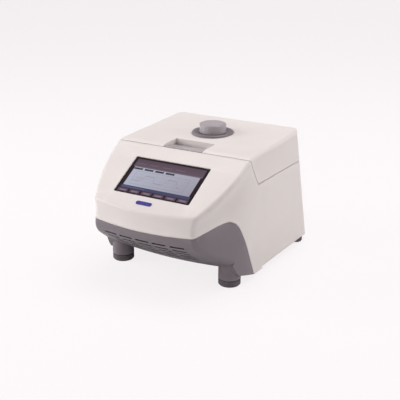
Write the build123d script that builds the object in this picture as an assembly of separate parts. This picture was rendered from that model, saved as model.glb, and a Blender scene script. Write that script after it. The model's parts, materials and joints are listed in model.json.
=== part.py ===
from build123d import *
from math import copysign, cos, exp, radians, sin, sqrt, tan
import os

# A 96-well gradient thermal cycler for the bench, in millimetres.
# +X is the operator's right, +Y is the back, +Z is up.
# The origin is on the bench under the middle of the case.

# --- Case envelope ---
NOSE_Y = -196.5  # foremost point of the bowed front
BASE_Z = 8.0  # underside of the case above the bench
WALL = 3.0
SLOPE_DEG = 30.3  # display slope
SLOPE_Y, SLOPE_Z = -126.5, 183.8  # middle of the display slope
TOP_RISE_DEG = 2.4  # the top climbs gently to the back
REAR_TOP_Y, REAR_TOP_Z = 150.5, 233.0
REAR_LEAN_DEG = 12.6
BOW_R = 560.0  # plan radius of the bowed front
FOLD_R = 45.0
REAR_TOP_R = 10.0
REAR_FOOT_R = 16.0
NOSE_CORNER_R = 12.0
REAR_CORNER_R = 35.0
CREST_R = 7.0
SKIRT_X = 114.0  # inner edge of the solid skirt beside each leg
PARTING = 0.4  # gap between neighbouring mouldings

# --- Flared sides ---
WIDEST_Y = -55.0  # in front of this the sides curve in towards the nose
SIDE_R = 236.0  # plan radius of that curve
CREST_HALF_WIDTH = 139.5
WAIST_HALF_WIDTH = 138.8
SHOULDER_HALF_WIDTH = 139.5
FOOT_HALF_WIDTH = 140.8
REAR_HALF_WIDTH = 137.4
SCOOP_DEPTH = 12.0
SCOOP_Y = -118.0

# --- Lid ---
LID_Z = 172.6  # parting height of the lid
LID_FRONT = (-31.0, -62.0)  # y of the lid's front edge at its foot and at the top
LID_GAP = 1.0
HINGE_Y, HINGE_Z = 159.2, 171.0
BARREL_R = 6.2
PIN_R = 2.0
KNUCKLE = (60.3, 99.7)  # housing knuckles, either side
BARREL_END = 121.0
PIN_END = 112.0
KNOB_Y = 48.0
COVER_BOLTS = [(x, y) for x in (-112.0, 112.0) for y in (-10.0, 112.0)]

# --- Sample block ---
BLOCK_Y = 48.0
BLOCK_W, BLOCK_D, BLOCK_H = 116.0, 80.0, 20.0
BLOCK_Z = 166.0
PITCH = 9.0
WELL_R = 3.1
DECK_Z = 165.0
DECK_T = 3.0

# --- Heated plate in the lid ---
PLATE_Z = 178.0
PLATE_W, PLATE_D, PLATE_T = 130.0, 88.0, 6.0
ROD_R = 3.0
SCREW_R = 5.0
FRAME_Z = 214.0
FRAME_BOLTS = [(x, y) for x in (-64.0, 64.0) for y in (-2.0, 98.0)]
CARRIAGE_Z = 197.0
ROD_SPOTS = [(x, KNOB_Y + y) for x in (-45.0, 45.0) for y in (-25.0, 25.0)]
SPRING_SPOTS = [(x, KNOB_Y + y) for x in (-56.0, 56.0) for y in (-33.0, 33.0)]

# --- Latch ---
LATCH_Y, LATCH_Z = -24.0, 206.0
POCKET_HALF = 41.0
POCKET_Y = (-66.0, -14.5)
HOOK_X = 33.0
STRIKE_SCREWS = (-46.0, 0.0, 46.0)

# --- Base ---
LEG_X, LEG_Y = 114.3, -88.5
LEG_R = 20.0
PAD_H = 13.0
REAR_FOOT_X, REAR_FOOT_Y = 126.0, 159.5
FLOOR_Z = BASE_Z + WALL
HOUSING_BOLTS = [(x, y) for x in (-123.0, 123.0) for y in (-20.0, 60.0, 140.0)]
BOARD_POSTS = [(x, y) for x in (-17.0, 109.0) for y in (-9.0, 125.0)]

# --- Display ---
SCREEN_W, SCREEN_H = 154.0, 86.0
DISPLAY_BOSSES = [(u, v) for u in (-88.0, 88.0) for v in (-50.0, 50.0)]

# --- Cooling ---
SINK_Z = 142.4  # top face of the heat sink
SINK_BOLTS = [(x, y) for x in (-70.0, 70.0) for y in (-2.0, 98.0)]
FIN_PITCH = 7.0
FAN_X, FAN_Y, FAN_Z = 32.0, 146.5, 110.0
FAN_SIZE, FAN_T = 60.0, 25.0
FAN_FRONT = FAN_Y - FAN_T / 2
FAN_BACK = FAN_Y + FAN_T / 2

# --- Rear panel ---
PANEL_Z = 92.0  # height of the panel's middle
PANEL_W, PANEL_H = 196.0, 128.0
PANEL_SCREWS = [(u, v) for u in (-95.0, 95.0) for v in (-55.0, 0.0, 55.0)]
INLET = (-62.0, -36.0)
SWITCH = (-18.0, -40.0)
USB = (58.0, -42.0)


# --- Small helpers ---

def block(x0, x1, y0, y1, z0, z1):
    middle = Pos((x0 + x1) / 2, (y0 + y1) / 2, (z0 + z1) / 2)
    return middle * Box(x1 - x0, y1 - y0, z1 - z0)


def rod(x, y, z0, z1, r):
    return Pos(x, y, (z0 + z1) / 2) * Cylinder(r, z1 - z0)


def cross_rod(x0, x1, y, z, r):
    return Pos((x0 + x1) / 2, y, z) * Rot(0, 90, 0) * Cylinder(r, x1 - x0)


def ring(x, y, z0, z1, outer, inner):
    return rod(x, y, z0, z1, outer) - rod(x, y, z0 - 1, z1 + 1, inner)


def prism(points, half):
    """A side-view outline given as (y, z) points, extruded to both sides."""
    return extrude(Plane.YZ * make_face(Polyline(*points, close=True)), half, both=True)


def both_sides(x):
    return (-x, x)


def save(node, *solids):
    found = [s for shape in solids for s in shape.solids()]
    whole = found[0] if len(found) == 1 else Compound(children=found)
    export_step(whole, f"parts/{node}.step")


def pan_screw(x, y, z, length, r, head_r, head_h=1.6):
    """A pan-head screw pointing down from z, with a cross recess."""
    screw = rod(x, y, z - length, z, r) + rod(x, y, z, z + head_h, head_r)
    screw = fillet(screw.faces().sort_by(Axis.Z)[-1].edges(), 0.5)
    recess = block(x - 0.9 * r, x + 0.9 * r, y - 0.4, y + 0.4, z + 0.6, z + 3)
    return screw - recess - Pos(x, y, 0) * Rot(0, 0, 90) * Pos(-x, -y, 0) * recess


# --- Case envelope ---

def slope_z(y):
    return SLOPE_Z + (y - SLOPE_Y) * tan(radians(SLOPE_DEG))


def top_z(y):
    return REAR_TOP_Z + (y - REAR_TOP_Y) * tan(radians(TOP_RISE_DEG))


def rear_y(z):
    return REAR_TOP_Y + (REAR_TOP_Z - z) * tan(radians(REAR_LEAN_DEG))


def nose_taper(y):
    """Half-width lost where the sides curve in towards the nose."""
    return min(y - WIDEST_Y, 0.0) ** 2 / (2 * SIDE_R)


def bump(y, middle, spread):
    return exp(-(((y - middle) / spread) ** 2))


def side_section(y, inset):
    """One cross-section of the flared, scooped sides."""
    lost = nose_taper(y) + inset
    rear_taper = (CREST_HALF_WIDTH - REAR_HALF_WIDTH) * (max(y - WIDEST_Y, 0.0) / 205.0) ** 2
    crest = CREST_HALF_WIDTH - rear_taper - lost
    waist = WAIST_HALF_WIDTH - SCOOP_DEPTH * bump(y, SCOOP_Y, 52.0) - lost
    shoulder = SHOULDER_HALF_WIDTH - 7.0 * bump(y, -128.0, 45.0) - lost
    foot = FOOT_HALF_WIDTH - lost
    z = min(slope_z(max(y, -190.0)), top_z(y)) - inset
    waist_z = z - 0.45 * (z - 112.0)
    points = [(foot, -30.0), (foot, 30.0), (shoulder, 112.0), (waist, waist_z)]
    points += [(crest - 1.5, z - 9.0), (crest, z), (crest + 1.0, 275.0)]
    right = Edge.make_spline([Vector(x, y, h) for x, h in points])
    left = Edge.make_spline([Vector(-x, y, h) for x, h in reversed(points)])
    top = Edge.make_line(right @ 1, left @ 0)
    bottom = Edge.make_line(left @ 1, right @ 0)
    return Wire([right, top, left, bottom])


def sides(inset):
    stations = [-215.0 + 21.5 * i for i in range(21)]
    return Solid.make_loft([side_section(y, inset) for y in stations])


def side_profile(inset):
    """The side view: display slope, top and leaning back."""
    fold_y = (top_z(0) - slope_z(0)) / (tan(radians(SLOPE_DEG)) - tan(radians(TOP_RISE_DEG)))
    fold = (fold_y, top_z(fold_y))
    crown = (REAR_TOP_Y, REAR_TOP_Z)
    heel = (rear_y(BASE_Z), BASE_Z)
    outline = Polyline((-230, BASE_Z), (-230, slope_z(-230)), fold, crown, heel, close=True)
    face = make_face(outline)
    if inset > 0:
        face = offset(face, -inset, kind=Kind.INTERSECTION)
    for point, radius in ((fold, FOLD_R), (crown, REAR_TOP_R - inset), (heel, REAR_FOOT_R - inset)):
        face = fillet(face.vertices().sort_by_distance((*point, 0))[0], radius)
    return extrude(Plane.YZ * face, 160, both=True)


def bowed_front(inset):
    """The nose and the chin under it, swept round a large plan radius."""
    middle = BOW_R + NOSE_Y
    nose = NOSE_Y + inset
    lift = 0.8 * inset
    back = 0.6 * inset
    chin = [(nose, 110.0), (-194.0 + back, 97.0 + lift), (-169.0 + back, 73.0 + lift)]
    chin += [(-130.0 + back, 46.0 + lift), (-87.0 + back, 23.0 + lift), (-45.0, BASE_Z + inset)]
    outline = Spline(*chin)
    brow = (nose + 12.0, 260)
    outline += Polyline(chin[0], brow, (middle, 260), (middle, -25), (0, -25), chin[-1])
    return revolve(Plane.YZ * make_face(outline), Axis((0, middle, 0), (0, 0, 1)), 360)


def rear_block(inset):
    """A leaning block that rounds the two rear corners."""
    sections = []
    for z, half in ((0.0, FOOT_HALF_WIDTH + 0.3), (REAR_TOP_Z, REAR_HALF_WIDTH)):
        half = half - inset
        back = rear_y(z) - inset / cos(radians(REAR_LEAN_DEG))
        face = make_face(Polyline((-half, -300), (half, -300), (half, back), (-half, back), close=True))
        face = fillet(face.vertices().sort_by(Axis.Y)[-2:], REAR_CORNER_R - inset)
        sections.append((Pos(0, 0, z) * face).face().outer_wire())
    return Solid.make_loft(sections, True)


def is_front_corner(edge):
    box = edge.bounding_box()
    middle = edge @ 0.5
    return box.size.Z > 1 and box.max.Z > 50 and abs(middle.X) > 80 and middle.Y < -20


def is_crest(edge):
    p = edge @ 0.5
    near_top = abs(p.Z - min(slope_z(p.Y), top_z(p.Y))) < 6
    return near_top and p.Z > 145 and p.Y < 100 and edge.geom_type != GeomType.LINE


def side_skirts(flanks):
    """The foot of each side, carried down and forward to the leg."""
    outline = [(-112, 46), (-103, 31), (-96, 22.5), (-46, BASE_Z), (-15, BASE_Z), (-15, 40), (-95, 70)]
    foot = flanks & prism(outline, 150)
    return foot - block(-SKIRT_X, SKIRT_X, -150, 0, 0, 80)


def envelope(inset=0.0):
    """The whole case as one volume, this far inside its outer skin."""
    flanks = sides(inset)
    body = (flanks & bowed_front(inset)).solids()[0]
    body = body.fillet(NOSE_CORNER_R - inset, body.edges().filter_by(is_front_corner))
    body = (body & side_profile(inset)).solids()[0]
    if inset == 0:
        body = body.fillet(CREST_R, body.edges().filter_by(is_crest))
        body = (body + side_skirts(flanks)).solids()[0]
    return (body & rear_block(inset)).solids()[0]


# --- Regions of the side view that split the envelope ---

def lid_front_y(z):
    """Slanted front edge of the lid."""
    low, high = LID_FRONT
    return low + (high - low) * (z - LID_Z) / (top_z(high) - LID_Z)


def lid_region(clearance=0.0):
    c = clearance
    front = [(lid_front_y(260) - c, 260), (lid_front_y(LID_Z) - c, LID_Z - c)]
    return prism(front + [(220, LID_Z - c), (220, 260)], 150)


def grey_region(shift):
    """The chin, legs and side gussets below the white housing."""
    edge = [(-212, 104.5), (-196.5, 110.7), (-184, 115.0), (-169, 118.3), (-152, 120.8), (-136, 122.9)]
    edge += [(-120, 124.3), (-111, 124.2), (-104, 122.6), (-97, 118.2), (-91, 111.0), (-86.5, 101.0)]
    edge += [(-46, BASE_Z)]
    points = [(y - shift, z - shift) for y, z in edge]
    return prism(points + [(-46 - shift, 0), (-212, 0)], 150)


# --- Base ---

def leg_column(side, inset, z0):
    """A leg that leans in and narrows as it runs up into the side gusset."""
    foot = Pos(side * LEG_X, LEG_Y, z0) * Circle(LEG_R - inset)
    knee = Pos(side * LEG_X, LEG_Y, 34) * Circle(LEG_R - 0.3 - inset)
    top = Pos(side * 110.5, -97, 114) * Circle(12.5 - inset)
    shaft = Solid.make_loft([w.face().outer_wire() for w in (foot, knee)], True)
    return shaft + Solid.make_loft([w.face().outer_wire() for w in (knee, top)], True)


def chin_vents():
    cuts = []
    for row in range(5):
        z = 54.5 + 9.2 * row
        for column in range(5):
            x = -68.0 + 34.0 * column
            cuts.append(block(x - 13.5, x + 13.5, -205, -95, z, z + 3.0))
    return cuts


def base_housing(outer, shell):
    body = (shell & grey_region(PARTING)) - chin_vents()
    body = body + (block(-134.4, 134.4, -58, 168.4, BASE_Z, FLOOR_Z) & outer)
    for side in (-1, 1):
        body = body + (leg_column(side, 0, PAD_H) & grey_region(PARTING))
        body = body - leg_column(side, WALL, PAD_H + WALL)
        body = body + rod(side * LEG_X, LEG_Y, PAD_H + 1, 42, 6)
        body = body - rod(side * LEG_X, LEG_Y, PAD_H - 1, 38, 1.7)
        body = body + rod(side * REAR_FOOT_X, REAR_FOOT_Y, BASE_Z, 17, 5)
        body = body - rod(side * REAR_FOOT_X, REAR_FOOT_Y, BASE_Z - 1, 16, 1.7)
    body = body + [rod(x, y, FLOOR_Z - 1, 18, 3.2) for x, y in BOARD_POSTS]
    cuts = [rod(x, y, FLOOR_Z - 2, 19, 1.2) for x, y in BOARD_POSTS]
    cuts += [rod(x, y, BASE_Z - 1, FLOOR_Z + 1, 1.7) for x, y in HOUSING_BOLTS]
    cuts += [rod(x, y, BASE_Z - 1, BASE_Z + 1.7, 3.4) for x, y in HOUSING_BOLTS]
    cuts += [block(-25, 25, 20 + 8 * i, 23.5 + 8 * i, BASE_Z - 1, FLOOR_Z + 1) for i in range(12)]
    return body - cuts


def front_foot(side):
    outline = Polyline((2.2, 5), (7, 5), (7, 0), (17.8, 0), (19.8, 2.2), (19.8, 11.2), (18.2, 11.2),
                       (18.2, PAD_H), (2.2, PAD_H), close=True)
    return Pos(side * LEG_X, LEG_Y, 0) * revolve(Plane.XZ * make_face(outline), Axis.Z, 360)


def rear_foot(side):
    outline = Polyline((2.2, 3), (6, 3), (6, 0), (11.5, 0), (13, 2), (13, BASE_Z), (2.2, BASE_Z),
                       close=True)
    return Pos(side * REAR_FOOT_X, REAR_FOOT_Y, 0) * revolve(Plane.XZ * make_face(outline), Axis.Z, 360)


def pan_screw_up(x, y, z, length, r, head_r, head_h=1.6):
    """A pan-head screw pointing up, its head's seat at z."""
    screw = pan_screw(0, 0, 0, length, r, head_r, head_h)
    return Pos(x, y, z) * Rot(180, 0, 0) * screw


# --- Leaning planes ---

def on_slope(u, v, w):
    """A place on the display slope: right, up the slope, outward."""
    plane = Plane((0, SLOPE_Y, SLOPE_Z), x_dir=(1, 0, 0),
                  z_dir=(0, -sin(radians(SLOPE_DEG)), cos(radians(SLOPE_DEG))))
    return plane.location * Pos(u, v, w)


def on_back(u, v, w):
    """A place on the leaning back: to the operator's right, up the back, outward."""
    plane = Plane((0, rear_y(PANEL_Z), PANEL_Z), x_dir=(-1, 0, 0),
                  z_dir=(0, cos(radians(REAR_LEAN_DEG)), sin(radians(REAR_LEAN_DEG))))
    return plane.location * Pos(-u, v, w)


def slab(place, u, v, w0, w1, width, height, r=0.0):
    """A slab with rounded corners, lying in a leaning plane between two depths."""
    outline = RectangleRounded(width, height, r) if r else Rectangle(width, height)
    return place(u, v, w0) * extrude(outline, w1 - w0)


# --- Main housing ---

def hinge_sections():
    """The lid's barrels: one in the middle and one at each end."""
    inner, outer = KNUCKLE
    return [(-BARREL_END, -outer - 0.6), (-inner + 0.6, inner - 0.6), (outer + 0.6, BARREL_END)]


def housing_tray(outer):
    """The bulkhead behind the display slope and the deck round the sample block."""
    near = LID_GAP
    far = LID_GAP + 3.6
    low = DECK_Z - DECK_T
    strip = [(lid_front_y(240) - near, 240), (lid_front_y(low) - near, low)]
    strip += [(lid_front_y(low) - far, low), (lid_front_y(240) - far, 240)]
    tray = prism(strip, 150) + block(-150, 150, lid_front_y(low) - 3, 190, low, DECK_Z)
    return tray & outer


def main_housing(outer, shell):
    body = shell - grey_region(0) - lid_region(LID_GAP)
    body = body + housing_tray(outer)
    cuts = [block(-135, 135, -60, 169, BASE_Z - 1, FLOOR_Z + 1)]
    cuts += [block(-135, 135, -60, 0, FLOOR_Z, FLOOR_Z + 8)]
    for x0, x1 in hinge_sections():
        cuts.append(block(x0 - 0.6, x1 + 0.6, HINGE_Y - 7.5, 190, HINGE_Z - 7.2, 180))
    cuts += [block(-64, 64, 2, 94, 150, 170)]
    cuts += [block(x - 4.6, x + 4.6, -29.5, -2.6, 150, 167) for x in both_sides(HOOK_X)]
    cuts += [slab(on_slope, 0, 0, -8, 5, SCREEN_W, SCREEN_H, 2.5)]
    cuts += [slab(on_back, 0, 0, -8, 8, PANEL_W - 12, PANEL_H - 12, 5)]
    body = body - cuts
    for side in (-1, 1):
        x0, x1 = sorted((side * KNUCKLE[0], side * KNUCKLE[1]))
        web = block(x0, x1, HINGE_Y - 5, HINGE_Y + 4, DECK_Z - 1, HINGE_Z)
        body = body + web + (cross_rod(x0, x1, HINGE_Y, HINGE_Z, BARREL_R) & outer)
        body = body - cross_rod(x0 - 1, x1 + 1, HINGE_Y, HINGE_Z, PIN_R + 0.02)
    for x, y in HOUSING_BOLTS:
        x0, x1 = sorted((x, copysign(139.0, x)))
        body = body + rod(x, y, FLOOR_Z, 45, 4.6) + block(x0, x1, y - 1.2, y + 1.2, FLOOR_Z, 45)
    body = body + [rod(x, y, SINK_Z, DECK_Z - 1, 4.2) for x, y in SINK_BOLTS]
    body = body + [on_slope(u, v, -6) * Cylinder(4, 7.0) for u, v in DISPLAY_BOSSES]
    pilots = [rod(x, y, FLOOR_Z - 1, 22, 1.3) for x, y in HOUSING_BOLTS]
    pilots += [rod(x, y, SINK_Z - 1, 156, 1.3) for x, y in SINK_BOLTS]
    pilots += [rod(x, -5.5, DECK_Z - 2.4, DECK_Z + 1, 1.3) for x in STRIKE_SCREWS]
    pilots += [on_slope(u, v, -8) * Cylinder(1.3, 8.0) for u, v in DISPLAY_BOSSES]
    pilots += [on_back(u, v, 0) * Cylinder(1.6, 12.0) for u, v in PANEL_SCREWS]
    return body - pilots


def hinge_pins():
    return [cross_rod(x0, x1, HINGE_Y, HINGE_Z, PIN_R) for x0, x1 in ((-PIN_END, -40), (40, PIN_END))]


def latch_strike():
    plate = block(-50, 50, -9.5, -1.5, DECK_Z, DECK_Z + 2)
    return plate - [rod(x, -5.5, DECK_Z - 1, DECK_Z + 3, 1.6) for x in STRIKE_SCREWS]


# --- Display ---

def display_glass():
    return slab(on_slope, 0, 0, -2.8, -0.9, SCREEN_W - 0.6, SCREEN_H - 0.6, 2.2)


def display_module():
    return slab(on_slope, 0, 0, -9.2, -3.2, 164, 96, 2)


def display_bracket():
    frame = slab(on_slope, 0, 0, -11.2, -9.7, 186, 110, 4) - slab(on_slope, 0, 0, -12, -9, 140, 74, 4)
    posts = [on_slope(u, v, -13.2) * Cylinder(2.6, 4.2) for u in (-66, 66) for v in (-43, 43)]
    holes = [on_slope(u, v, -10) * Cylinder(1.6, 6) for u, v in DISPLAY_BOSSES]
    pilots = [on_slope(u, v, -13.2) * Cylinder(1.1, 5) for u in (-66, 66) for v in (-43, 43)]
    return frame + posts - holes - pilots


def control_board():
    board = slab(on_slope, 0, 0, -16.9, -15.3, 142, 92, 2)
    parts = [slab(on_slope, -20, 8, -19, -16.5, 24, 24), slab(on_slope, 18, 10, -18.4, -16.5, 14, 20)]
    parts += [slab(on_slope, -52, -30, -22, -16.5, 14, 16), slab(on_slope, 5, -34, -21, -16.5, 30, 7)]
    holes = [on_slope(u, v, -16) * Cylinder(1.2, 6) for u in (-66, 66) for v in (-43, 43)]
    return board + parts - holes


def display_screws():
    screw = pan_screw(0, 0, 0, 7, 1.25, 2.7)
    return [on_slope(u, v, -11.2) * Rot(180, 0, 0) * screw for u, v in DISPLAY_BOSSES]


def badge():
    plate = slab(on_slope, -4, -58, 0, 0.7, 32, 8, 3.9)
    return plate.fillet(0.3, plate.faces().sort_by(Axis.Z)[-1].edges())


# --- Sample block and Peltier stack ---

def well_grid():
    return [((c - 5.5) * PITCH, BLOCK_Y + (r - 3.5) * PITCH) for c in range(12) for r in range(8)]


def sample_block():
    body = block(-BLOCK_W / 2, BLOCK_W / 2, BLOCK_Y - BLOCK_D / 2, BLOCK_Y + BLOCK_D / 2,
                 BLOCK_Z - BLOCK_H, BLOCK_Z)
    body = body.fillet(3, body.edges().filter_by(Axis.Z))
    body = body.chamfer(0.6, None, body.faces().sort_by(Axis.Z)[-1].edges())
    wall = Polyline((0, 1), (WELL_R, 1), (WELL_R, -4), (1.5, -15), (0, -15.8), close=True)
    well = revolve(Plane.XZ * make_face(wall), Axis.Z, 360)
    return body - [Pos(x, y, BLOCK_Z) * well for x, y in well_grid()]


def framed(half_x, y0, y1, z0, z1, wall):
    """A rectangular frame with an even wall."""
    return block(-half_x, half_x, y0, y1, z0, z1) - block(
        -half_x + wall, half_x - wall, y0 + wall, y1 - wall, z0 - 1, z1 + 1)


def block_surround():
    skirt = framed(63.5, 2.5, 93.5, 150, DECK_Z + 1.4, 2.4)
    return skirt + framed(68, -1, 97, DECK_Z, DECK_Z + 1.4, 6.9)


def block_seal():
    half = BLOCK_W / 2 + 3.0
    return framed(half, BLOCK_Y - BLOCK_D / 2 - 3.0, BLOCK_Y + BLOCK_D / 2 + 3.0, 157, 163, 2.95)


def thermal_sheet():
    return block(-BLOCK_W / 2, BLOCK_W / 2, BLOCK_Y - BLOCK_D / 2, BLOCK_Y + BLOCK_D / 2, 145.7, 146)


def peltier_modules():
    spots = [(x, y) for x in (-38.6, 0, 38.6) for y in (BLOCK_Y - 19.8, BLOCK_Y + 19.8)]
    return [block(x - 19, x + 19, y - 19, y + 19, SINK_Z, 145.7) for x, y in spots]


def heat_sink():
    base = block(-76, 76, -7, 103, SINK_Z - 8, SINK_Z)
    fin_xs = [FIN_PITCH * i for i in range(-9, 10)]
    fins = [block(x - 0.8, x + 0.8, -7, 103, 92, SINK_Z - 7) for x in fin_xs]
    return base + fins - [rod(x, y, SINK_Z - 9, SINK_Z + 1, 1.8) for x, y in SINK_BOLTS]


def air_duct():
    y0, y1 = FAN_FRONT - 1.5, FAN_FRONT
    walls = block(-66.5, 66.5, -7, y1, 90, SINK_Z - 8) - block(-65.5, 65.5, -8, y1 + 1, 91, SINK_Z)
    flange = block(-66.5, 66.5, y0, y1, FAN_Z - 32, FAN_Z + 31)
    mouths = [along_y(x, FAN_Z, y0 - 1, y1 + 1, 28) for x in both_sides(FAN_X)]
    bolts = [along_y(x, z, y0 - 1, y1 + 1, 2) for x, z in fan_bolt_spots()]
    return walls + flange - mouths - bolts


def fan_bolt_spots():
    return [(x + u, FAN_Z + v) for x in both_sides(FAN_X) for u in (-25, 25) for v in (-25, 25)]


def along_y(x, z, y0, y1, r):
    return Pos(x, (y0 + y1) / 2, z) * Rot(90, 0, 0) * Cylinder(r, y1 - y0)


def fan_frame(x):
    front, back = FAN_FRONT, FAN_BACK
    half = FAN_SIZE / 2
    body = block(x - half, x + half, front, back, FAN_Z - half, FAN_Z + half)
    body = body.fillet(4, body.edges().filter_by(Axis.Y))
    body = body - along_y(x, FAN_Z, front - 1, back + 1, 28.4)
    strut = Pos(19, 0, 0) * Box(24, 3, 3)
    struts = [Pos(x, back - 1.5, FAN_Z) * Rot(0, 45 + 90 * i, 0) * strut for i in range(4)]
    body = body + struts + along_y(x, FAN_Z, back - 4, back, 13)
    holes = [along_y(u, v, front - 1, back + 1, 2.1) for u, v in fan_bolt_spots() if abs(u - x) < half]
    return body - holes - along_y(x, FAN_Z, back - 5, back - 1, 1.56)


def fan_rotor(x):
    front, back = FAN_FRONT + 1.5, FAN_BACK - 5
    hub = along_y(x, FAN_Z, front, back, 12.5)
    middle = (front + back) / 2
    blade = Pos(0, 0, 19.3) * Rot(0, 0, 38) * Box(19, 1.6, 16)
    blades = [Pos(x, middle, FAN_Z) * Rot(0, 360 / 7 * i, 0) * blade for i in range(7)]
    return hub + blades + along_y(x, FAN_Z, back - 1, back + 3.5, 1.5)


def fan_screws():
    screw = pan_screw(0, 0, 0, 9, 1.9, 3.4)
    return [Pos(x, FAN_FRONT - 1.5, z) * Rot(90, 0, 0) * screw for x, z in fan_bolt_spots()]


# --- Electronics ---

def main_board():
    board = block(-20, 114, -14, 130, 18, 19.6)
    chips = [block(20, 48, 40, 68, 19, 22), block(60, 84, 46, 60, 19, 21.5)]
    capacitors = [rod(-8 + 13 * i, 112, 19, 39, 5) for i in range(4)]
    sockets = [block(-14, 16, -10, -3, 19, 28), block(30, 60, -11, -4, 19, 27)]
    sockets += [block(72, 100, -11, -3, 19, 30)]
    cooler = block(70, 104, 84, 122, 19, 44)
    slots = [block(73 + 5 * i, 75.5 + 5 * i, 83, 123, 26, 45) for i in range(6)]
    holes = [rod(x, y, 17, 20.5, 1.4) for x, y in BOARD_POSTS]
    return board + chips + capacitors + sockets + cooler - slots - holes


def board_screws():
    return [pan_screw(x, y, 19.6, 7, 1.15, 2.6) for x, y in BOARD_POSTS]


def power_supply():
    case = block(-114, -30, -14, 130, FLOOR_Z, 45)
    case = case - block(-113, -31, -13, 129, FLOOR_Z + 1.2, 43.8)
    slots = [block(-104, -40, 8 * i, 3.5 + 8 * i, 43, 46) for i in range(15)]
    inside = [block(-104, -72, 10, 50, FLOOR_Z + 1, 38), block(-60, -42, 20, 100, FLOOR_Z + 1, 34)]
    inside += [rod(-90, y, FLOOR_Z + 1, 38, 9) for y in (75, 100)]
    return case - slots + inside


def display_cable():
    path = Spline((0, -88, 176), (0, -70, 120), (0, -45, 60), (0, -12, 29.5))
    section = Plane(path @ 0, x_dir=(1, 0, 0), z_dir=path % 0) * Rectangle(22, 0.8)
    return sweep(section, path)


def power_cable():
    path = Spline((-62, 163.4, 50.6), (-62, 149, 42), (-62, 133.5, 32))
    return sweep(Plane(path @ 0, z_dir=path % 0) * Circle(3), path)


# --- Rear panel ---

def rear_vents():
    """Slots that fill a circle in front of each fan."""
    v_fan = (FAN_Z - PANEL_Z) / cos(radians(REAR_LEAN_DEG))
    cuts = []
    for x in both_sides(FAN_X + 8):
        for i in range(-4, 5):
            length = 2 * sqrt(31.0 ** 2 - (6.6 * i) ** 2)
            cuts.append(slab(on_back, x, v_fan + 6.6 * i, -8, 2, length, 3.2, 1.55))
    return cuts


def rear_panel():
    body = slab(on_back, 0, 0, -4.8, -3.3, PANEL_W, PANEL_H, 4)
    body = body - rear_vents()
    body = body - [on_back(u, v, -4) * Cylinder(1.25, 6) for u, v in PANEL_SCREWS]
    body = body - slab(on_back, *INLET, -8, 0, 47.4, 33.4)
    body = body - slab(on_back, *SWITCH, -8, 0, 13.4, 19.4)
    return body - slab(on_back, *USB, -8, 0, 14.2, 7.2)


def panel_screws():
    screw = pan_screw(0, 0, 0, 5.2, 1.2, 2.8)
    return [on_back(u, v, 0) * screw for u, v in PANEL_SCREWS]


def inlet_socket():
    u, v = INLET
    body = slab(on_back, u, v, -3.3, -0.5, 52, 38, 3) + slab(on_back, u, v, -26, -3.3, 47, 33, 1)
    body = body - slab(on_back, u, v + 5, -20, 1, 25, 17, 3)
    body = body - slab(on_back, u, v - 10.5, -25, 1, 22.4, 8.4)
    pins = [slab(on_back, u + du, v + 5 + dv, -21, -5, 2, 4) for du, dv in ((-7, -2), (0, 3), (7, -2))]
    return body + pins


def fuse_drawer():
    u, v = INLET
    body = slab(on_back, u, v - 10.5, -24, 0, 22, 8)
    body = body + slab(on_back, u, v - 10.5, -0.45, 1.2, 26, 9.5, 1.5)
    body = body - slab(on_back, u, v - 13.5, 0.2, 2, 10, 3.2)
    return body - slab(on_back, u, v - 10.5, -22, -6, 19, 9)


def switch_pivot():
    u, v = SWITCH
    return on_back(u, v, -2.5)


def switch_body():
    u, v = SWITCH
    body = slab(on_back, u, v, -3.3, -1.2, 17, 23, 2) + slab(on_back, u, v, -20, -3.3, 13, 19)
    body = body - switch_pivot() * Rot(0, 90, 0) * Cylinder(7.9, 10.4)
    blades = [slab(on_back, u, v + dv, -28, -19, 5, 0.8) for dv in (-6, 0, 6)]
    return body + blades


def switch_rocker():
    barrel = Rot(0, 90, 0) * Cylinder(7.6, 10)
    body = barrel - prism([(-9, 5.2), (-7, 5.2), (0, 3.4), (7, 5.2), (9, 5.2), (9, 12), (-9, 12)], 8)
    return switch_pivot() * Rot(-9, 0, 0) * body


def usb_port():
    u, v = USB
    shell = slab(on_back, u, v, -18, -2.6, 13.8, 6.8, 0.8) - slab(on_back, u, v, -17, 0, 12.6, 5.4)
    tongue = slab(on_back, u, v + 1.2, -17.5, -4, 11.2, 1.8)
    return shell + tongue + slab(on_back, u, v, -22, -17.9, 18, 12)


# --- Lid ---

def lid_front_wall(outer):
    low = [(lid_front_y(LID_Z), LID_Z), (lid_front_y(LID_Z) + 3.6, LID_Z)]
    return prism([(lid_front_y(240), 240), *low, (lid_front_y(240) + 3.6, 240)], 150) & outer


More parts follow.
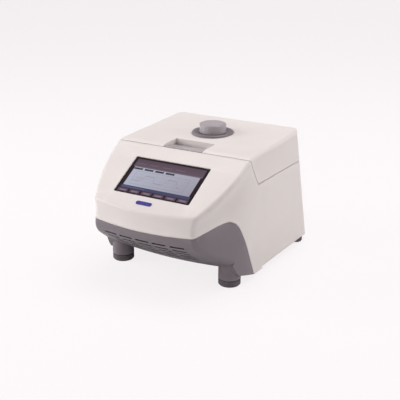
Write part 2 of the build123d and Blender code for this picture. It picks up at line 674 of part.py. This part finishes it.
def lid_shell(outer, shell):
    body = (shell & lid_region()) + lid_front_wall(outer)
    for x in both_sides(POCKET_HALF):
        x0, x1 = sorted((x, x + copysign(2.6, x)))
        body = body + (block(x0, x1, -56, -12.5, 200, 230) & outer & lid_region())
    rear = POCKET_Y[1]
    body = body + block(-POCKET_HALF - 2.6, POCKET_HALF + 2.6, rear, rear + 2, 205, 224.5)
    body = body + (rod(0, KNOB_Y, 219.5, 235, 43) & outer)
    posts = [rod(x, y, FRAME_Z + 3, top_z(y) - 1.5, 5.5) for x, y in FRAME_BOLTS]
    posts += [rod(x, y, 178.6, top_z(y) - 1.5, 4.2) for x, y in COVER_BOLTS]
    body = body + posts
    for x0, x1 in hinge_sections():
        body = body + (cross_rod(x0, x1, HINGE_Y, HINGE_Z, BARREL_R) & outer)
    cuts = [block(-POCKET_HALF, POCKET_HALF, *POCKET_Y, 206.5, 240)]
    cuts += [rod(0, KNOB_Y, 225.5, 240, 39.4), rod(0, KNOB_Y, 200, 240, 14)]
    for side in (-1, 1):
        x0, x1 = sorted((side * (KNUCKLE[0] - 0.6), side * (KNUCKLE[1] + 0.6)))
        cuts.append(cross_rod(x0, x1, HINGE_Y, HINGE_Z, BARREL_R + 0.8))
        x0, x1 = sorted((side * 39.5, side * (PIN_END + 0.5)))
        cuts.append(cross_rod(x0, x1, HINGE_Y, HINGE_Z, PIN_R + 0.06))
    cuts += [rod(x, y, FRAME_Z, 223, 1.3) for x, y in FRAME_BOLTS]
    cuts += [rod(x, y, 178, 190, 1.3) for x, y in COVER_BOLTS]
    pin_end = POCKET_HALF + 2.6
    cuts += [cross_rod(-pin_end, pin_end, LATCH_Y, LATCH_Z, 1.52)]
    return body - cuts


def lid_inner_cover():
    plate = block(-127, 127, -22, 127, 176, 178.5)
    plate = plate.fillet(8, plate.edges().filter_by(Axis.Z))
    cuts = [block(-66.2, 66.2, 2.8, 93.2, 175, 180)]
    cuts += [block(x - 4.8, x + 4.8, -25, -8.5, 175, 180) for x in both_sides(HOOK_X)]
    cuts += [rod(x, y, 175, 180, 1.7) for x, y in COVER_BOLTS]
    return plate - cuts


def cover_screws():
    return [pan_screw_up(x, y, 176, 9, 1.2, 2.8) for x, y in COVER_BOLTS]


def lid_frame():
    plate = block(-71, 71, -9, 105, FRAME_Z, FRAME_Z + 3)
    plate = plate.fillet(8, plate.edges().filter_by(Axis.Z))
    windows = [(x, y) for x in (-27, 27) for y in (12, 84)]
    cuts = [block(x - 9, x + 9, y - 12, y + 12, FRAME_Z - 1, FRAME_Z + 4) for x, y in windows]
    cuts += [rod(x, y, FRAME_Z - 1, FRAME_Z + 4, ROD_R + 0.02) for x, y in ROD_SPOTS]
    cuts += [rod(x, y, FRAME_Z - 1, FRAME_Z + 4, 1.8) for x, y in FRAME_BOLTS]
    cuts += [rod(0, KNOB_Y, FRAME_Z - 1, FRAME_Z + 4, 9.02)]
    return plate - cuts


def frame_screws():
    return [pan_screw_up(x, y, FRAME_Z, 8, 1.2, 3.2) for x, y in FRAME_BOLTS]


def guide_rods():
    return [rod(x, y, 186, FRAME_Z + 3, ROD_R) for x, y in ROD_SPOTS]


def screw_bush():
    return ring(0, KNOB_Y, FRAME_Z - 1, FRAME_Z + 3, 9, SCREW_R + 0.05) + ring(
        0, KNOB_Y, FRAME_Z + 3, FRAME_Z + 5, 12, SCREW_R + 0.05)


def turned(points):
    """A turned part on the knob's axis, from (radius, height) points."""
    return Pos(0, KNOB_Y, 0) * revolve(Plane.XZ * make_face(Polyline(*points, close=True)), Axis.Z, 360)


def escutcheon():
    rim = [(39, 225.6), (39, 230.4), (37.6, 231.8), (34.5, 231.8)]
    return turned([(14, 225.6), *rim, (28, 229.3), (14, 229.3)])


def knob_grip():
    """A cup over the escutcheon with a stem down to the lead screw's collar."""
    stem = [(SCREW_R + 0.02, 221.4), (9, 221.4), (9, 242)]
    skirt = [(22.2, 242), (22.2, 230.2), (25, 230.2), (25, 245.2), (24.2, 246)]
    seat = [(22.6, 246), (22.6, 244.6), (SCREW_R + 0.02, 244.6)]
    return turned(stem + skirt + seat)


def knob_cap():
    return turned([(0, 244.7), (22.4, 244.7), (22.4, 246.4), (21.8, 247), (0, 247)])


def lead_screw():
    groove = ring(0, KNOB_Y, 211.6, 212.8, 8, 4.3)
    return rod(0, KNOB_Y, 190, 243, SCREW_R) + ring(0, KNOB_Y, 219.05, 221.3, 9, 2) - groove


def circlip():
    return ring(0, KNOB_Y, 211.7, 212.7, 7.5, 4.35) - block(0, 10, KNOB_Y - 1.5, KNOB_Y + 1.5, 211, 213.5)


# --- Heated plate and its carriage ---

def pressure_carriage():
    plate = block(-66, 66, 8, 88, CARRIAGE_Z, CARRIAGE_Z + 5)
    plate = plate.fillet(6, plate.edges().filter_by(Axis.Z))
    cuts = [rod(x, y, CARRIAGE_Z - 1, CARRIAGE_Z + 6, ROD_R + 0.06) for x, y in ROD_SPOTS]
    cuts += [rod(x, y, CARRIAGE_Z - 1, CARRIAGE_Z + 6, 2.7) for x, y in SPRING_SPOTS]
    cuts += [rod(0, KNOB_Y, CARRIAGE_Z - 1, CARRIAGE_Z + 6, 9.05)]
    return plate - cuts


def drive_nut():
    return ring(0, KNOB_Y, 193, CARRIAGE_Z + 5, 9, SCREW_R + 0.06) + ring(
        0, KNOB_Y, CARRIAGE_Z + 5, CARRIAGE_Z + 8, 14, SCREW_R + 0.06)


def press_springs():
    coil = Helix(pitch=1.75, height=7.0, radius=4.2)
    wire = sweep(Plane(coil @ 0, z_dir=coil % 0) * Circle(0.55), coil)
    return [Pos(x, y, 189.4) * wire for x, y in SPRING_SPOTS]


def shoulder_bolts():
    bolts = []
    for x, y in SPRING_SPOTS:
        head = rod(x, y, CARRIAGE_Z + 5.05, CARRIAGE_Z + 8, 4.5)
        socket = rod(x, y, CARRIAGE_Z + 6.4, CARRIAGE_Z + 9, 1.9)
        bolts.append(rod(x, y, 185, CARRIAGE_Z + 6, 2.5) + head - socket)
    return bolts


def insulator_plate():
    plate = block(-62, 62, 7, 89, 184.8, 188.8)
    cuts = [rod(x, y, 184, 190, 3.7) for x, y in ROD_SPOTS]
    cuts += [rod(x, y, 184, 190, 2.55) for x, y in SPRING_SPOTS]
    return plate - cuts - rod(0, KNOB_Y, 187.6, 190, 7)


def heater_mat():
    return block(-61, 61, 8, 88, 184.05, 184.75)


def heated_plate():
    half_w, half_d = PLATE_W / 2, PLATE_D / 2
    plate = block(-half_w, half_w, KNOB_Y - half_d, KNOB_Y + half_d, PLATE_Z, PLATE_Z + PLATE_T)
    plate = plate.fillet(4, plate.edges().filter_by(Axis.Z))
    return plate.chamfer(1, None, plate.faces().sort_by(Axis.Z)[0].edges())


# --- Latch ---

def latch_handle():
    paddle = [(-57.4, 221.4), (-18.6, 215.8), (-18.6, 212.6), (-20.5, 210.5), (-20.5, 203.5)]
    paddle += [(-28.0, 202.6), (-31.0, 213.4), (-56.4, 217.2)]
    body = prism(paddle, POCKET_HALF - 1.4)
    arm = [(-27.0, 203.0), (-17.5, 190.0), (-16.5, 160.5), (-4.5, 160.5), (-4.5, 162.0), (-7.0, 164.4)]
    arm += [(-11.5, 164.4), (-12.5, 192.0), (-20.6, 208.0)]
    body = body + [Pos(x, 0, 0) * prism(arm, 3) for x in both_sides(HOOK_X)]
    body = body - block(-9, 9, -28.5, -18, 200, 211)
    return body - cross_rod(-POCKET_HALF, POCKET_HALF, LATCH_Y, LATCH_Z, 1.58)


def latch_pin():
    return cross_rod(-POCKET_HALF - 2.4, POCKET_HALF + 2.4, LATCH_Y, LATCH_Z, 1.5)


def latch_spring():
    coil = Helix(pitch=1.6, height=12.0, radius=2.3)
    wire = sweep(Plane(coil @ 0, z_dir=coil % 0) * Circle(0.45), coil)
    return Pos(-6, LATCH_Y, LATCH_Z) * Rot(0, 90, 0) * wire


# --- Write every sub-part ---

def build():
    os.makedirs("parts", exist_ok=True)
    outer = envelope()
    shell = outer - envelope(WALL)
    save("base_housing", base_housing(outer, shell))
    save("main_housing", main_housing(outer, shell))
    save("lid_shell", lid_shell(outer, shell))
    save("front_feet", *[front_foot(s) for s in (-1, 1)])
    save("rear_feet", *[rear_foot(s) for s in (-1, 1)])
    foot_screws = [pan_screw_up(s * LEG_X, LEG_Y, 5, 28, 1.65, 4.2, 2.2) for s in (-1, 1)]
    foot_screws += [pan_screw_up(s * REAR_FOOT_X, REAR_FOOT_Y, 3, 12, 1.65, 4.2, 2.2) for s in (-1, 1)]
    save("foot_screws", *foot_screws)
    save("housing_screws", *[pan_screw_up(x, y, BASE_Z + 1.7, 10, 1.25, 2.9) for x, y in HOUSING_BOLTS])
    save("hinge_pins", *hinge_pins())
    save("latch_strike", latch_strike())
    save("strike_screws", *[pan_screw(x, -5.5, DECK_Z + 2, 4, 1.2, 2.6) for x in STRIKE_SCREWS])
    save("display_glass", display_glass())
    save("display_module", display_module())
    save("display_bracket", display_bracket())
    save("display_screws", *display_screws())
    save("control_board", control_board())
    save("badge", badge())
    save("sample_block", sample_block())
    save("block_surround", block_surround())
    save("block_seal", block_seal())
    save("thermal_sheet", thermal_sheet())
    save("peltier_modules", *peltier_modules())
    save("heat_sink", heat_sink())
    save("clamp_screws", *[pan_screw_up(x, y, SINK_Z - 8, 18, 1.25, 3.2) for x, y in SINK_BOLTS])
    save("air_duct", air_duct())
    save("fan_frames", *[fan_frame(x) for x in both_sides(FAN_X)])
    save("fan_rotor_left", fan_rotor(-FAN_X))
    save("fan_rotor_right", fan_rotor(FAN_X))
    save("fan_screws", *fan_screws())
    save("main_board", main_board())
    save("board_screws", *board_screws())
    save("power_supply", power_supply())
    save("display_cable", display_cable())
    save("power_cable", power_cable())
    save("rear_panel", rear_panel())
    save("rear_panel_screws", *panel_screws())
    save("inlet_socket", inlet_socket())
    save("fuse_drawer", fuse_drawer())
    save("switch_body", switch_body())
    save("switch_rocker", switch_rocker())
    save("usb_port", usb_port())
    save("lid_inner_cover", lid_inner_cover())
    save("lid_screws", *cover_screws(), *frame_screws())
    save("lid_frame", lid_frame())
    save("guide_rods", *guide_rods())
    save("screw_bush", screw_bush())
    save("escutcheon", escutcheon())
    save("knob_grip", knob_grip())
    save("knob_cap", knob_cap())
    save("lead_screw", lead_screw())
    save("circlip", circlip())
    save("pressure_carriage", pressure_carriage())
    save("drive_nut", drive_nut())
    save("press_springs", *press_springs())
    save("shoulder_bolts", *shoulder_bolts())
    save("insulator_plate", insulator_plate())
    save("heater_mat", heater_mat())
    save("heated_plate", heated_plate())
    save("latch_handle", latch_handle())
    save("latch_pin", latch_pin())
    save("latch_spring", latch_spring())


build()
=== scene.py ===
import json
import math

import bmesh
import bpy
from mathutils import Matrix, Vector


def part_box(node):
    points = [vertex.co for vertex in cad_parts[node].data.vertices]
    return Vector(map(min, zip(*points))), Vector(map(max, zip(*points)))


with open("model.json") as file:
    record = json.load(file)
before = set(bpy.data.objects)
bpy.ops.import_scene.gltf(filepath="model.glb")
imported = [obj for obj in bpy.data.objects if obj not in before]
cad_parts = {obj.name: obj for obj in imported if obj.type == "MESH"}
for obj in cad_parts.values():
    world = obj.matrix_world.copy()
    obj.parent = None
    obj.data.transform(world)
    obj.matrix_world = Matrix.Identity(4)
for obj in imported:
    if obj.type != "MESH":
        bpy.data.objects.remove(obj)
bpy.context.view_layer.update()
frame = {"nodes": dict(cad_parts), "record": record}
nodes = frame["nodes"]

MM = 0.001


# --- Node materials: small helpers ---

class Shader:
    """A node material, with short calls that add a node and join its inputs."""

    def __init__(self, name):
        self.material = bpy.data.materials.new(name)
        self.material.use_nodes = True
        self.tree = self.material.node_tree
        self.tree.nodes.clear()
        self.surface = self.add("ShaderNodeBsdfPrincipled")
        out = self.add("ShaderNodeOutputMaterial")
        self.tree.links.new(self.surface.outputs[0], out.inputs["Surface"])
        self.place = self.add("ShaderNodeTexCoord").outputs["Object"]

    def add(self, kind, settings=None, **inputs):
        node = self.tree.nodes.new(kind)
        for key, value in (settings or {}).items():
            setattr(node, key, value)
        for key, value in inputs.items():
            self.set(node.inputs[key.replace("_", " ")], value)
        return node

    def set(self, socket, value):
        if isinstance(value, bpy.types.NodeSocket):
            self.tree.links.new(value, socket)
        else:
            socket.default_value = value

    def math(self, operation, a, b=0.0):
        node = self.add("ShaderNodeMath", {"operation": operation})
        self.set(node.inputs[0], a)
        self.set(node.inputs[1], b)
        return node.outputs[0]

    def noise(self, scale, detail=2.0, roughness=0.5, stretch=None):
        place = self.place
        if stretch:
            place = self.add("ShaderNodeMapping", Vector=place, Scale=stretch).outputs[0]
        return self.add("ShaderNodeTexNoise", Vector=place, Scale=scale, Detail=detail,
                        Roughness=roughness).outputs[0]

    def remap(self, value, low, high, to_low=0.0, to_high=1.0):
        node = self.add("ShaderNodeMapRange", Value=value)
        for index, number in enumerate((low, high, to_low, to_high), 1):
            node.inputs[index].default_value = number
        return node.outputs[0]

    def mix(self, factor, a, b):
        node = self.add("ShaderNodeMix", {"data_type": "RGBA"})
        self.set(node.inputs[0], factor)
        self.set(node.inputs[6], a)
        self.set(node.inputs[7], b)
        return node.outputs[2]

    def bump(self, height, distance, strength=1.0, edge=None):
        """Bump over edges that the shader rounds by this radius."""
        node = self.add("ShaderNodeBump", Height=height, Distance=distance, Strength=strength)
        if edge:
            rounded = self.add("ShaderNodeBevel", {"samples": 4}, Radius=edge)
            self.set(node.inputs["Normal"], rounded.outputs[0])
        self.set(self.surface.inputs["Normal"], node.outputs[0])

    def finish(self, **inputs):
        for key, value in inputs.items():
            self.set(self.surface.inputs[key.replace("_", " ")], value)
        return self.material


def rgb(r, g, b):
    return (r, g, b, 1.0)


def scaled(colour, factor, lift=0.0):
    """The same hue, brighter or darker."""
    return rgb(*(min(1.0, c * factor + lift) for c in colour[:3]))


# --- Materials ---

def moulded_plastic(name, colour, rough=0.42, grain=2600.0, depth=0.035, edge=0.5):
    """Spark-eroded moulding grain, slight colour drift, and edges polished by handling, their colour
    lightened partly by wear and partly by a painted highlight.
    """
    s = Shader(name)
    drift = s.noise(9.0, 3.0)
    fine = s.noise(grain, 3.0, 0.6)
    dust = s.noise(140.0, 4.0, 0.65)
    base = s.mix(s.remap(drift, 0.35, 0.65), colour, scaled(colour, 0.955))
    base = s.mix(s.remap(dust, 0.62, 0.8, 0.0, 0.12), base, scaled(colour, 0.8))
    # Convex edges get a lighter colour: partly handling wear, partly a painted highlight.
    edge_wear_and_highlight = s.remap(s.add("ShaderNodeNewGeometry").outputs["Pointiness"], 0.52, 0.6, 0.0, 0.25)
    base = s.mix(edge_wear_and_highlight, base, scaled(colour, 1.25, 0.03))
    s.bump(fine, depth * MM, 0.55, edge * MM)
    grained = s.remap(fine, 0.3, 0.7, rough - 0.05, rough + 0.07)
    polished = s.math("SUBTRACT", grained, s.math("MULTIPLY", edge_wear_and_highlight, 0.4))
    return s.finish(Base_Color=base, Roughness=polished, IOR=1.49, Coat_Weight=0.04, Coat_Roughness=0.35)


def rubber(name, colour, edge=0.4):
    """Matt rubber with pale scuffs."""
    s = Shader(name)
    fine = s.noise(1500.0, 4.0, 0.7)
    scuff = s.noise(60.0, 5.0, 0.7)
    base = s.mix(s.remap(scuff, 0.5, 0.75, 0.0, 0.5), colour, scaled(colour, 1.7, 0.02))
    s.bump(fine, 0.08 * MM, 0.6, edge * MM)
    roughness = s.remap(fine, 0.3, 0.7, 0.62, 0.85)
    return s.finish(Base_Color=base, Roughness=roughness, Specular_IOR_Level=0.35)


def metal(name, colour, rough=0.3, grain=(900.0, 12.0, 12.0), depth=0.02, edge=0.15):
    """Metal with a directional machined or brushed grain."""
    s = Shader(name)
    lines = s.noise(1.0, 4.0, 0.65, stretch=grain)
    stain = s.noise(35.0, 3.0, 0.6)
    base = s.mix(s.remap(lines, 0.3, 0.7), colour, scaled(colour, 0.88))
    base = s.mix(s.remap(stain, 0.5, 0.8, 0.0, 0.2), base, scaled(colour, 0.75))
    s.bump(lines, depth * MM, 0.5, edge * MM)
    roughness = s.remap(lines, 0.3, 0.7, rough - 0.07, rough + 0.1)
    return s.finish(Base_Color=base, Metallic=1.0, Roughness=roughness)


def circuit_board(name):
    """Green solder mask over copper runs, with pads and vias."""
    s = Shader(name)
    bricks = s.add("ShaderNodeTexBrick", {"offset": 0.35}, Vector=s.place, Scale=230.0, Mortar_Size=0.05)
    runs = bricks.outputs["Fac"]
    cells = s.add("ShaderNodeTexVoronoi", {"feature": "F1"}, Vector=s.place, Scale=320.0)
    vias = cells.outputs["Distance"]
    pads = s.math("LESS_THAN", vias, 0.16)
    base = s.mix(runs, rgb(0.012, 0.10, 0.045), rgb(0.02, 0.19, 0.08))
    base = s.mix(pads, base, rgb(0.62, 0.60, 0.52))
    s.bump(runs, 0.05 * MM, 0.5, 0.15 * MM)
    return s.finish(Base_Color=base, Metallic=s.math("MULTIPLY", pads, 0.9), Roughness=0.34)


def anodised_wells(name):
    """Fine bead-blasted aluminium, with painted shade that darkens it down the wells."""
    s = Shader(name)
    fine = s.noise(3000.0, 2.0)
    # Painted shade: ambient occlusion darkens the colour down the wells.
    painted_well_shade = s.add("ShaderNodeAmbientOcclusion", {"samples": 8}, Distance=6 * MM).outputs["AO"]
    base = s.mix(painted_well_shade, rgb(0.20, 0.20, 0.21), rgb(0.72, 0.72, 0.74))
    s.bump(fine, 0.02 * MM, 0.5, 0.2 * MM)
    return s.finish(Base_Color=base, Metallic=1.0, Roughness=s.remap(fine, 0.3, 0.7, 0.3, 0.42))


MATERIALS = {
    "white_housing": moulded_plastic("white_abs", rgb(0.745, 0.685, 0.665), 0.45, edge=3.5),
    "grey_housing": moulded_plastic("grey_abs", rgb(0.190, 0.160, 0.180), 0.42),
    "knob_grey": moulded_plastic("knob_grey", rgb(0.385, 0.345, 0.365), 0.34),
    "rubber_feet": rubber("foot_rubber", rgb(0.125, 0.105, 0.118)),
    "silicone": rubber("silicone", rgb(0.42, 0.10, 0.06)),
    "screw_steel": metal("zinc_steel", rgb(0.60, 0.60, 0.61), 0.32, (300.0, 300.0, 300.0), 0.01),
    "ground_steel": metal("ground_steel", rgb(0.66, 0.66, 0.67), 0.22, (14.0, 900.0, 900.0), 0.01),
    "sheet_metal": metal("sheet_metal", rgb(0.62, 0.62, 0.63), 0.36, (20.0, 1100.0, 20.0)),
    "circuit_board": circuit_board("solder_mask"),
    "badge_blue": moulded_plastic("badge_blue", rgb(0.062, 0.052, 0.27), 0.25, 800.0, 0.01, 0.2),
    "block_aluminium": anodised_wells("block_aluminium"),
    "black_plastic": moulded_plastic("black_plastic", rgb(0.022, 0.022, 0.025), 0.4, 2000.0, 0.03, 0.25),
    "graphite": metal("graphite", rgb(0.10, 0.10, 0.11), 0.5),
    "alumina": moulded_plastic("alumina", rgb(0.80, 0.80, 0.77), 0.6, 3000.0, 0.02, 0.1),
    "panel_paint": moulded_plastic("powder_coat", rgb(0.56, 0.54, 0.52), 0.5, 1400.0, 0.09, 0.2),
    "bronze": metal("bronze", rgb(0.55, 0.36, 0.16), 0.28, (12.0, 12.0, 900.0)),
    "mica_board": moulded_plastic("mica_board", rgb(0.60, 0.52, 0.40), 0.7, 900.0, 0.12, 0.1),
}


# --- The display's picture, drawn in the glass material ---

# Blocks of the picture: u from, u to, v from, v to, in mm from the middle of the glass.
BORDER = (-72.5, 72.5, -40.5, 41)
TITLE_BAR = (-71, 71, 20, 38.5)
TITLE_EDGE = (-70, 70.5, 20, 21.2)
TITLE_WORDS = (-68, 40, 27, 28.6)
PANE = (-67.5, 67.5, -24.5, 19.6)
TABS = (-67, 20, 14.0, 18.2)
PLOT = (-58, 52, -20, 11)
PLOT_INSIDE = (-57.4, 51.4, -19.4, 10.4)
CURVE = (-56, 40, -20, 10)
CURVE_KEY = (-52, -34, -8, -2)
STATUS_STRIP = (-70, 70.5, -31.5, -24.6)
STATUS_WORDS = (-66, -20, -29.5, -26.8)
BUTTONS = (-71.5, 72, -39.5, -32.5)
BUTTON_WORDS = (-71.5, 72, -37.6, -34.6)
BUTTON_PITCH = 24.4


def slope_axes():
    """Middle of the glass and the unit vector up the display slope."""
    low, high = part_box("display_glass")
    rise = Vector((0, high.y - low.y, high.z - low.z)).normalized()
    return (low + high) / 2, rise


class Picture(Shader):
    """A picture painted in layers: u runs across the glass and v up its slope, in mm."""

    def __init__(self, name):
        super().__init__(name)
        middle, up = slope_axes()
        shift = self.add("ShaderNodeVectorMath", {"operation": "SUBTRACT"})
        self.set(shift.inputs[0], self.place)
        self.set(shift.inputs[1], middle)
        self.u = self.along(shift.outputs[0], Vector((1, 0, 0)))
        self.v = self.along(shift.outputs[0], up)
        self.colour = rgb(0.004, 0.002, 0.003)

    def along(self, place, direction):
        dot = self.add("ShaderNodeVectorMath", {"operation": "DOT_PRODUCT"})
        self.set(dot.inputs[0], place)
        self.set(dot.inputs[1], direction)
        return self.math("DIVIDE", dot.outputs["Value"], MM)

    def both(self, a, b):
        return self.math("MULTIPLY", a, b)

    def band(self, value, low, high):
        return self.both(self.math("GREATER_THAN", value, low), self.math("LESS_THAN", value, high))

    def block(self, edges):
        """1 inside a block of the picture."""
        u0, u1, v0, v1 = edges
        return self.both(self.band(self.u, u0, u1), self.band(self.v, v0, v1))

    def repeated(self, value, start, pitch, width):
        """1 over each of a row of items."""
        phase = self.math("FRACT", self.math("DIVIDE", self.math("SUBTRACT", value, start), pitch))
        return self.math("LESS_THAN", phase, width / pitch)

    def paint(self, mask, colour):
        self.colour = self.mix(mask, self.colour, colour)


def paint_title_bar(p):
    bar = p.mix(p.remap(p.v, 21, 41), rgb(0.145, 0.095, 0.135), rgb(0.095, 0.062, 0.088))
    p.paint(p.block(TITLE_BAR), bar)
    p.paint(p.block(TITLE_EDGE), rgb(0.23, 0.19, 0.24))
    words = p.both(p.block(TITLE_WORDS), p.repeated(p.u, TITLE_WORDS[0], 27.0, 20.0))
    p.paint(p.math("MULTIPLY", words, 0.3), rgb(0.30, 0.24, 0.30))


def paint_pane(p):
    """The pale pane, darker to the right, with four tabs of short bold strokes."""
    pane = p.mix(p.remap(p.u, -67, 67), rgb(0.520, 0.545, 0.660), rgb(0.390, 0.370, 0.460))
    pane = p.mix(p.remap(p.v, -24, 20, 0.0, 0.25), pane, rgb(0.62, 0.62, 0.72))
    p.paint(p.block(PANE), pane)
    tabs = p.both(p.block(TABS), p.repeated(p.u, TABS[0], 22, 18.0))
    p.paint(p.both(tabs, p.repeated(p.u, TABS[0], 3.1, 2.8)), rgb(0.010, 0.006, 0.014))


def stepped_curve(p):
    """1 along a line that cycles between two holds: a clipped sine."""
    angle = p.math("MULTIPLY", p.math("ADD", p.u, 38.0), 0.135)
    wave = p.math("MULTIPLY", p.math("SINE", angle), 17.0)
    wave = p.math("SUBTRACT", p.math("MAXIMUM", p.math("MINIMUM", wave, 6.5), -6.5), 4.5)
    return p.math("LESS_THAN", p.math("ABSOLUTE", p.math("SUBTRACT", p.v, wave)), 0.55)


def paint_plot(p):
    """A temperature programme over a faint grid, with a frame and a key."""
    line = stepped_curve(p)
    grid = p.math("MAXIMUM", p.repeated(p.u, -60, 15.0, 0.45), p.repeated(p.v, -20, 8.0, 0.45))
    frame_lines = p.math("SUBTRACT", p.block(PLOT), p.block(PLOT_INSIDE))
    p.paint(p.both(p.math("MULTIPLY", grid, 0.22), p.block(PLOT)), rgb(0.15, 0.15, 0.24))
    p.paint(p.math("MULTIPLY", frame_lines, 0.4), rgb(0.14, 0.12, 0.22))
    p.paint(p.both(p.math("MULTIPLY", line, 0.55), p.block(CURVE)), rgb(0.26, 0.13, 0.24))
    p.paint(p.both(p.block(CURVE_KEY), 0.18), rgb(0.50, 0.25, 0.30))


def paint_status_strip(p):
    p.paint(p.block(STATUS_STRIP), rgb(0.062, 0.066, 0.150))
    words = p.both(p.block(STATUS_WORDS), p.repeated(p.u, STATUS_WORDS[0], 2.4, 1.4))
    p.paint(p.math("MULTIPLY", words, 0.5), rgb(0.22, 0.22, 0.34))


def paint_buttons(p):
    """Six buttons, each with a word of short strokes."""
    buttons = p.both(p.block(BUTTONS), p.repeated(p.u, BUTTONS[0], BUTTON_PITCH, 20.6))
    p.paint(buttons, rgb(0.115, 0.070, 0.110))
    word_start = BUTTON_WORDS[0] + 4
    words = p.both(p.block(BUTTON_WORDS), p.repeated(p.u, word_start, BUTTON_PITCH, 13.0))
    p.paint(p.both(words, p.repeated(p.u, word_start, 2.2, 1.5)), rgb(0.34, 0.26, 0.33))


def display_material():
    """The lit picture of a touch panel: title bar, plot pane, status strip and buttons."""
    p = Picture("display_picture")
    p.paint(p.block(BORDER), rgb(0.018, 0.004, 0.009))
    paint_title_bar(p)
    paint_pane(p)
    paint_plot(p)
    paint_status_strip(p)
    paint_buttons(p)
    smear = p.noise(40.0, 4.0, 0.6)
    return p.finish(Base_Color=rgb(0.006, 0.005, 0.006), Emission_Color=p.colour, Emission_Strength=0.8,
                    Roughness=p.remap(smear, 0.3, 0.8, 0.10, 0.2), IOR=1.45)


# --- Finishes on the CAD nodes ---

def give(node, material):
    node.data.materials.clear()
    node.data.materials.append(material)


MATERIALS["screen_glass"] = display_material()
slots = {part["node"]: part["material_slot"] for part in frame["record"]["subparts"]}
for name, node in nodes.items():
    give(node, MATERIALS[slots[name]])


# --- Stage ---

# The floor sheet, in metres: it lies flat from front to back, then bends up behind the object.
SHEET_HALF_WIDTH, SHEET_FRONT, SHEET_BACK = 12.0, -18.0, 3.0
BEND_RADIUS, BEND_STEPS, SHEET_TOP = 1.2, 12, 3.5
FLOOR_LEVEL = -0.2 * MM

# Each light: its place, the point that it faces, its width and height in metres, its power in watts.
LIGHTS = {
    "top": ((0.2, 0.5, 2.0), (0, 0.1, 0.2), (1.6, 1.2), 25),
    "left": ((-1.9, -1.0, 0.9), (0, 0, 0.12), (1.2, 1.2), 31),
    "right": ((2.0, 1.1, 0.9), (0, 0, 0.12), (1.4, 1.2), 18),
    "front": ((-0.5, -2.2, 0.9), (0, 0, 0.12), (1.2, 1.2), 8),
}
# Strength of the world's light on the object, and its brightness to the eye.
WORLD_LIGHT, WORLD_SEEN = 0.30, 0.975

CAMERA_PLACE = (0.7874, -1.3107, 0.6414)
# The direction from the object back to the camera, in degrees from -Y and above level.
CAMERA_AZIMUTH, CAMERA_ELEVATION = 30.969, 19.193
FOCAL_LENGTH, SENSOR_WIDTH = 77.92, 36.0


def link(obj):
    bpy.context.scene.collection.objects.link(obj)
    return obj


def aim(obj, direction):
    obj.rotation_mode = "QUATERNION"
    obj.rotation_quaternion = direction.to_track_quat("-Z", "Y")


def camera_ray(tree):
    """1 for what the camera sees directly, 0 for light that falls on the object."""
    return tree.nodes.new("ShaderNodeLightPath").outputs["Is Camera Ray"]


def sheet_profile():
    """Points (y, z) along the floor, round the bend and up the back."""
    points = [(SHEET_FRONT, FLOOR_LEVEL), (SHEET_BACK, FLOOR_LEVEL)]
    for i in range(1, BEND_STEPS + 1):
        angle = math.pi / 2 * i / BEND_STEPS
        rise = BEND_RADIUS * (1 - math.cos(angle))
        points.append((SHEET_BACK + BEND_RADIUS * math.sin(angle), rise + FLOOR_LEVEL))
    points.append((SHEET_BACK + BEND_RADIUS, SHEET_TOP))
    return points


def paper():
    """Bright to the eye, like an overexposed sweep, and plain pale paper to the object."""
    s = Shader("paper")
    s.bump(s.noise(300.0, 3.0), 0.05 * MM, 0.2)
    seen = camera_ray(s.tree)
    base = s.mix(seen, rgb(0.80, 0.79, 0.79), rgb(0.10, 0.098, 0.098))
    return s.finish(Base_Color=base, Roughness=0.9, Emission_Color=rgb(0.985, 0.950, 0.960),
                    Emission_Strength=s.math("MULTIPLY", seen, 0.86))


def floor():
    """A pale sheet that curves up behind the object."""
    mesh = bpy.data.meshes.new("floor")
    sheet = bmesh.new()
    sides = (-SHEET_HALF_WIDTH, SHEET_HALF_WIDTH)
    rows = [[sheet.verts.new((x, y, z)) for x in sides] for y, z in sheet_profile()]
    for below, above in zip(rows, rows[1:]):
        sheet.faces.new((below[0], below[1], above[1], above[0]))
    sheet.to_mesh(mesh)
    sheet.free()
    mesh.polygons.foreach_set("use_smooth", [True] * len(mesh.polygons))
    mesh.materials.append(paper())
    link(bpy.data.objects.new("floor", mesh))


def area_light(name, place, target, size, power):
    data = bpy.data.lights.new(name, "AREA")
    data.shape = "RECTANGLE"
    data.size, data.size_y = size
    data.energy = power
    obj = link(bpy.data.objects.new(name, data))
    obj.location = place
    aim(obj, Vector(target) - Vector(place))


def studio():
    """Soft light all round, and a backdrop that looks as bright as the floor."""
    world = bpy.data.worlds.new("studio")
    world.use_nodes = True
    tree = world.node_tree
    back = tree.nodes["Background"]
    back.inputs["Color"].default_value = rgb(1.0, 0.968, 0.976)
    strength = tree.nodes.new("ShaderNodeMapRange")
    strength.inputs["To Min"].default_value = WORLD_LIGHT
    strength.inputs["To Max"].default_value = WORLD_SEEN
    tree.links.new(camera_ray(tree), strength.inputs["Value"])
    tree.links.new(strength.outputs[0], back.inputs["Strength"])
    bpy.context.scene.world = world
    for name, (place, target, size, power) in LIGHTS.items():
        area_light(name, place, target, size, power)


def camera():
    """Three-quarter view from the front and slightly above."""
    data = bpy.data.cameras.new("camera")
    data.sensor_width = SENSOR_WIDTH
    data.lens = FOCAL_LENGTH
    obj = link(bpy.data.objects.new("camera", data))
    obj.location = CAMERA_PLACE
    azimuth, elevation = math.radians(CAMERA_AZIMUTH), math.radians(CAMERA_ELEVATION)
    level = math.cos(elevation)
    back = Vector((math.sin(azimuth) * level, -math.cos(azimuth) * level, math.sin(elevation)))
    aim(obj, -back)
    bpy.context.scene.camera = obj


floor()
studio()
camera()
bpy.context.scene.view_settings.view_transform = "Standard"
